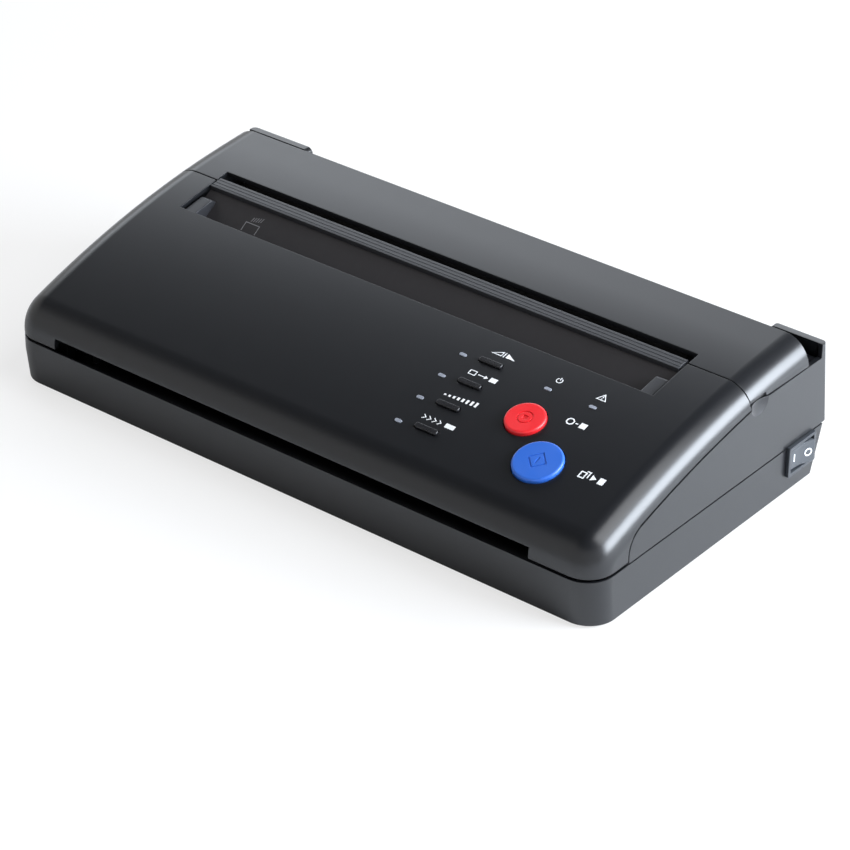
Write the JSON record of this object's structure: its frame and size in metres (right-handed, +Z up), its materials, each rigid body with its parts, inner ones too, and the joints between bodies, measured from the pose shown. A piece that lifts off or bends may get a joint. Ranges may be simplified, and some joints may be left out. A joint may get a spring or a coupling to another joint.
{
  "type": "thermal stencil copier",
  "caption": "Flat black desktop machine that copies a drawing onto stencil paper, with a sloped control panel, a document inlet on top, an exit slot in front and a hinged cover and lid.",
  "frame": {"origin": "centre of the footprint, on the surface that the feet stand on", "axes": "+X to the operator's right along the length, +Y to the rear, +Z up"},
  "size_m": [0.3032, 0.1582, 0.0653],
  "materials": {
    "black_case": "fine satin moulded surface",
    "ridge_black": "satin",
    "inner_black": "satin",
    "red_plastic": "smooth",
    "blue_plastic": "smooth",
    "key_black": "smooth",
    "lamp_lens": "frosted",
    "switch_black": "smooth",
    "green_board": "solder mask",
    "chip_black": "matt",
    "steel": "drawn",
    "zinc_sheet": "zinc plated sheet",
    "brass_bush": "turned",
    "dark_rubber": "ground",
    "white_rubber": "ground",
    "gear_white": "moulded acetal",
    "aluminium": "extruded",
    "ceramic": "glazed strip",
    "glass": "polished",
    "foot_rubber": "matt",
    "contact_metal": "plated",
    "lamp_chip": "clear"
  },
  "bodies": {
    "base": {"base_tray": "black_case", "middle_housing": "black_case", "exit_ridge": "ridge_black", "document_tray": "inner_black", "document_guides": "ridge_black", "switch_body": "switch_black", "inlet_socket": "switch_black", "inlet_pins": "contact_metal", "left_frame": "zinc_sheet", "right_frame": "zinc_sheet", "roller_bushes": "brass_bush", "feed_motor": "zinc_sheet", "gear_posts": "steel", "scanner_carrier": "zinc_sheet", "scanner_bar": "inner_black", "scanner_glass": "glass", "exit_guide": "zinc_sheet", "thermal_head": "ceramic", "head_heatsink": "aluminium", "head_bracket": "zinc_sheet", "head_springs": "steel", "stencil_guide": "zinc_sheet", "lid_hinge_pins": "steel", "rubber_feet": "foot_rubber", "case_screws": "steel", "main_board": "green_board", "power_board": "green_board", "transformer": "chip_black", "board_standoffs": "brass_bush"},
    "front_cover": {"front_cover": "black_case", "upper_guide": "inner_black", "separation_pad": "dark_rubber", "control_board": "green_board", "tact_switches": "chip_black", "panel_lamps": "lamp_chip", "indicator_lenses": "lamp_lens", "cover_hinge_pins": "steel"},
    "rear_lid": {"rear_lid": "black_case", "platen_bushes": "brass_bush"},
    "stop_button": {"stop_button": "red_plastic"},
    "copy_button": {"copy_button": "blue_plastic"},
    "mode_key_1": {"mode_key_1": "key_black"},
    "mode_key_2": {"mode_key_2": "key_black"},
    "mode_key_3": {"mode_key_3": "key_black"},
    "mode_key_4": {"mode_key_4": "key_black"},
    "power_rocker": {"switch_rocker": "switch_black"},
    "feed_roll": {"feed_shaft": "steel", "feed_roller": "dark_rubber", "feed_gear": "gear_white"},
    "pressure_roll": {"pressure_shaft": "steel", "pressure_roller": "white_rubber", "pressure_gear": "gear_white"},
    "motor_rotor": {"motor_pinion": "brass_bush"},
    "first_idler": {"first_idler": "gear_white"},
    "second_idler": {"second_idler": "gear_white"},
    "third_idler": {"third_idler": "gear_white"},
    "platen_roll": {"platen_shaft": "steel", "platen_roller": "dark_rubber", "platen_gear": "gear_white"}
  },
  "joints": [
    {"name": "front_cover_hinge", "type": "hinge", "parent": "base", "child": "front_cover", "pos_m": [0, -0.0739, 0.026], "axis": [1, 0, 0], "range_deg": [0, 55]},
    {"name": "rear_lid_hinge", "type": "hinge", "parent": "base", "child": "rear_lid", "pos_m": [0, 0.0699, 0.0502], "axis": [-1, 0, 0], "range_deg": [0, 62]},
    {"name": "stop_button_press", "type": "slide", "parent": "front_cover", "child": "stop_button", "axis": [0, 0.2679, -0.9634], "range_m": [0, 0.0008], "stiffness_N_per_m": 500},
    {"name": "copy_button_press", "type": "slide", "parent": "front_cover", "child": "copy_button", "axis": [0, 0.3035, -0.9528], "range_m": [0, 0.0008], "stiffness_N_per_m": 500},
    {"name": "mode_key_1_press", "type": "slide", "parent": "front_cover", "child": "mode_key_1", "axis": [0, 0.316, -0.9488], "range_m": [0, 0.0005], "stiffness_N_per_m": 500},
    {"name": "mode_key_2_press", "type": "slide", "parent": "front_cover", "child": "mode_key_2", "axis": [0, 0.2856, -0.9583], "range_m": [0, 0.0005], "stiffness_N_per_m": 500},
    {"name": "mode_key_3_press", "type": "slide", "parent": "front_cover", "child": "mode_key_3", "axis": [0, 0.2552, -0.9669], "range_m": [0, 0.0005], "stiffness_N_per_m": 500},
    {"name": "mode_key_4_press", "type": "slide", "parent": "front_cover", "child": "mode_key_4", "axis": [0, 0.2248, -0.9744], "range_m": [0, 0.0005], "stiffness_N_per_m": 500},
    {"name": "power_rocker_tilt", "type": "hinge", "parent": "base", "child": "power_rocker", "pos_m": [0.148, 0.0591, 0.0152], "axis": [0, 0, 1], "range_deg": [0, 24]},
    {"name": "feed_spin", "type": "hinge", "parent": "base", "child": "feed_roll", "pos_m": [0, -0.0185, 0.0325], "axis": [1, 0, 0], "continuous": true},
    {"name": "pressure_spin", "type": "hinge", "parent": "base", "child": "pressure_roll", "pos_m": [0, -0.0376, 0.0305], "axis": [1, 0, 0], "continuous": true},
    {"name": "motor_spin", "type": "hinge", "parent": "base", "child": "motor_rotor", "pos_m": [0, 0.0135, 0.02], "axis": [1, 0, 0], "continuous": true},
    {"name": "first_idler_spin", "type": "hinge", "parent": "base", "child": "first_idler", "pos_m": [0, -0.0012, 0.02168], "axis": [1, 0, 0], "continuous": true},
    {"name": "second_idler_spin", "type": "hinge", "parent": "base", "child": "second_idler", "pos_m": [0, 0.02579, 0.03146], "axis": [1, 0, 0], "continuous": true},
    {"name": "third_idler_spin", "type": "hinge", "parent": "base", "child": "third_idler", "pos_m": [0, 0.03771, 0.04152], "axis": [1, 0, 0], "continuous": true},
    {"name": "platen_spin", "type": "hinge", "parent": "rear_lid", "child": "platen_roll", "pos_m": [0, 0.0395, 0.055], "axis": [1, 0, 0], "continuous": true}
  ],
  "couplings": [
    {"joint": "pressure_spin", "follows": "feed_spin", "ratio": -1.1818},
    {"joint": "motor_spin", "follows": "feed_spin", "ratio": 2.1667},
    {"joint": "first_idler_spin", "follows": "feed_spin", "ratio": -1.04},
    {"joint": "second_idler_spin", "follows": "feed_spin", "ratio": -0.86667},
    {"joint": "third_idler_spin", "follows": "feed_spin", "ratio": 0.82333},
    {"joint": "platen_spin", "follows": "feed_spin", "ratio": -1.1762}
  ]
}
